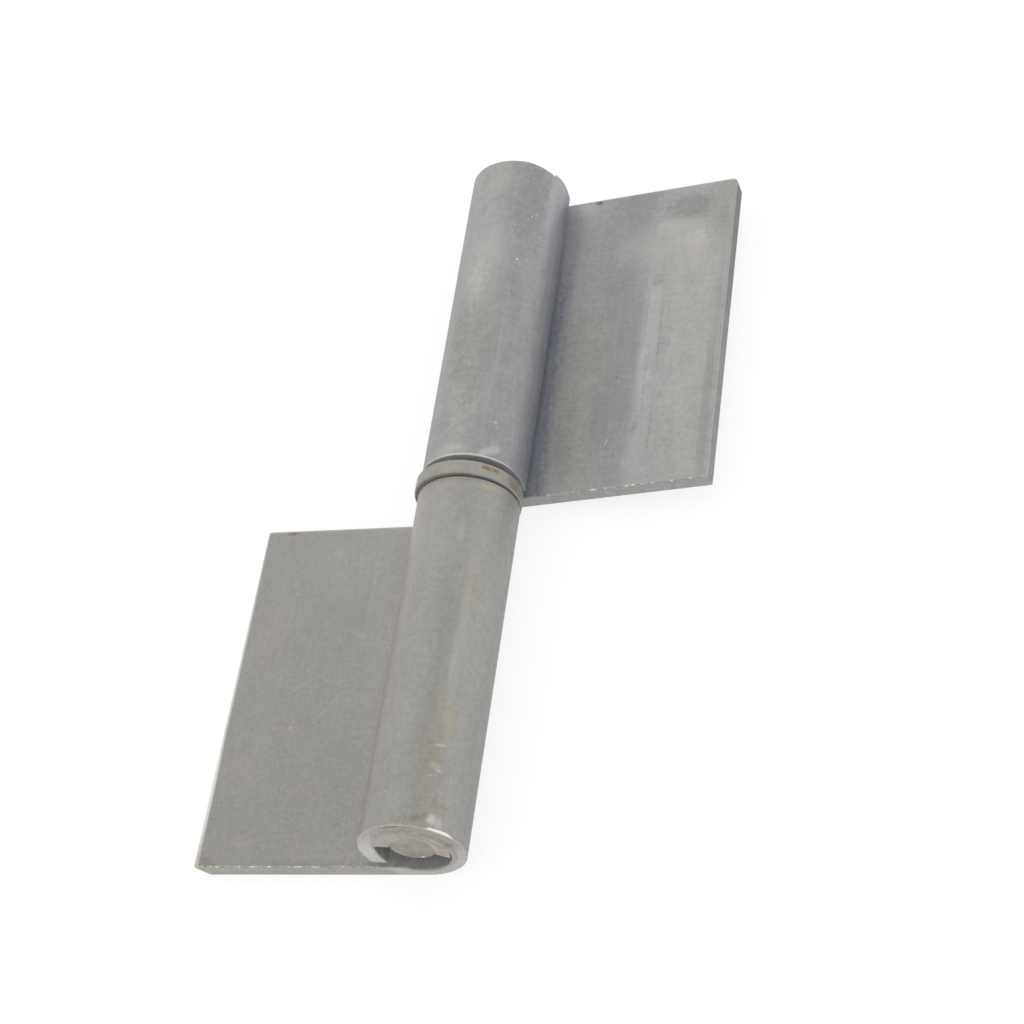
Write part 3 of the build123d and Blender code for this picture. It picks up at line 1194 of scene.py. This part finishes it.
UPPER_STEEL = RolledSteel(
    name="upper_leaf_steel",
    plate_tones=(
        # Across the plate: pale from 5.5 to 10 mm by the roll, as painted light against the crevice's
        # shade, tinted blue like the scale there
        (5.5, paint(160, 163, 174)), (8, paint(160, 161, 167)), (10, paint(168, 168, 168)),
        (12.5, paint(158, 158, 156)), (16, paint(152, 152, 150)), (20, paint(150, 150, 150)),
        (24, paint(160, 160, 159)), (33, paint(163, 163, 160)), (36, paint(156, 156, 154)),
    ),
    # Around the roll: the steel's tone with painted light and shade, lighter from 0 to 18 degrees to lift
    # the crevice's shade, darker just below, and lighter over the top and the far flank
    roll_tones_and_shading=(
        (-180, paint(158, 158, 156)), (-20, paint(146, 148, 155)), (0, paint(165, 166, 172)),
        (18, paint(169, 169, 171)), (30, paint(158, 158, 159)), (45, paint(151, 151, 151)),
        (70, paint(155, 155, 154)), (95, paint(163, 163, 161)), (130, paint(163, 163, 161)),
        (148, paint(154, 154, 153)), (160, paint(156, 156, 155)), (180, paint(166, 166, 164)),
    ),
    marks=UPPER_MARKS,
    reach=36.75,
    cut=paint(168, 168, 167),
    free_cut=paint(150, 150, 150),
    free_cut_outer=paint(118, 118, 118),
    outer_rim=paint(168, 168, 166),
    # The end face towards the ring is painted pale: painted light against the shade between it and the
    # ring
    inner_rim=paint(186, 186, 191),
    bore_tones=((-6, paint(150, 150, 150)), (6, paint(150, 150, 150))),
    drift=0.0014,
    clouds=0.24,
    flecks=0.45,
    weave=0.16,
    scratches=0.16,
    edge_wear=0.25,
)

RING_MARKS = (
    Mark(ROLL, 128, 0.3, 11, 0.5, paint(142, 129, 102), 0.85, 0.7, 1.4),
    Mark(ROLL, 124, 0.4, 5, 0.28, paint(122, 102, 68), 0.8, 0.6, 1.5),
    Mark(ROLL, 133.5, 0.2, 3.4, 0.24, paint(118, 98, 66), 0.75, 0.6, 1.5),
    Mark(ROLL, 160, 0.8, 9, 0.9, paint(140, 126, 110), 0.6),
    Mark(ROLL, 97, 0.1, 12, 0.7, paint(156, 149, 130), 0.6),
    Mark(ROLL, 60, 0.5, 16, 0.7, paint(158, 154, 140), 0.4),
)
WELD_MARKS = (
    Mark(FACE, 172, 4.9, 12, 0.5, paint(170, 148, 132), 0.65, 0.6, 1.4),
    Mark(FACE, 118, 5.3, 6, 0.3, paint(168, 150, 138), 0.6, 0.6, 1.4),
    Mark(FACE, 152, 4.6, 24, 0.22, paint(150, 139, 116), 0.65, 0.6, 1.4),
    Mark(FACE, 130, 4.4, 30, 0.6, paint(166, 160, 140), 0.6, 0.6, 1.3),
    Mark(FACE, 108, 5.2, 14, 0.3, paint(152, 140, 122), 0.6, 0.6, 1.3),
    Mark(FACE, 60, 4.8, 20, 0.8, paint(174, 171, 163), 0.5, 0.6, 1),
)
PIN_MARKS = (
    Mark(FACE, 62, 2.4, 30, 1.2, paint(172, 168, 166), 0.6, 0.7, 1),
    Mark(FACE, 118, 2.7, 26, 0.6, paint(166, 159, 140), 0.65, 0.7, 1.4),
    Mark(FACE, 160, 2.6, 26, 0.5, paint(150, 139, 118), 0.6, 0.7, 1.4),
    Mark(FACE, -92, 2.5, 46, 0.9, paint(134, 129, 123), 0.65, 0.7, 1.2),
    Mark(FACE, 30, 1, 60, 0.5, paint(140, 134, 126), 0.5, 0.7, 1.4),
    # A bright speck on the pin's rim: partly a burr, partly a painted glint
    Mark(FACE, -102, 3.15, 4, 0.16, paint(236, 231, 230), 0.9, 0.5, 0.5),
)
PIN_STEEL = TurnedSteel(
    name="pin_steel",
    face=paint(158, 154, 147),
    side=paint(160, 160, 160),
    stain=paint(150, 144, 130),
    stained=0.4,
    marks=PIN_MARKS,
    blotched=0.55,
)
WELD_STEEL = TurnedSteel(
    name="weld_steel",
    face=paint(176, 171, 163),
    side=paint(150, 148, 143),
    stain=paint(164, 157, 142),
    stained=0.5,
    marks=WELD_MARKS,
    blotched=0.7,
)
RING_STEEL = TurnedSteel(
    name="ring_steel",
    face=paint(150, 148, 146),
    side=paint(154, 152, 147),
    stain=paint(152, 146, 134),
    stained=0.35,
    marks=RING_MARKS,
    blotched=0.5,
    metallic=0.45,
)


def main() -> None:
    """Builds the scene."""
    logging.basicConfig(level=logging.INFO, format="%(name)s: %(message)s")
    Studio().set_up()
    lower = LeafFrame(turn=180.0)
    upper = LeafFrame(fold=-6.9)
    Piece("lower_leaf", LOWER_STEEL, lower).dress()
    Piece("upper_leaf", UPPER_STEEL, upper).dress()
    Piece("pin", PIN_STEEL, lower).dress()
    Piece("pin_weld", WELD_STEEL, lower).dress()
    Piece("bearing_ring", RING_STEEL, lower).dress()
    for burr in (
        Burr("lower_leaf_burr", "lower", lower, start=6.2, end=35.2, along=60.87, height=-5.47),
        Burr("upper_leaf_burr", "upper", upper, start=8.6, end=35.8, along=1.95, height=-5.47),
    ):
        burr.dress(burr.build())


if __name__ == "__main__":
    main()
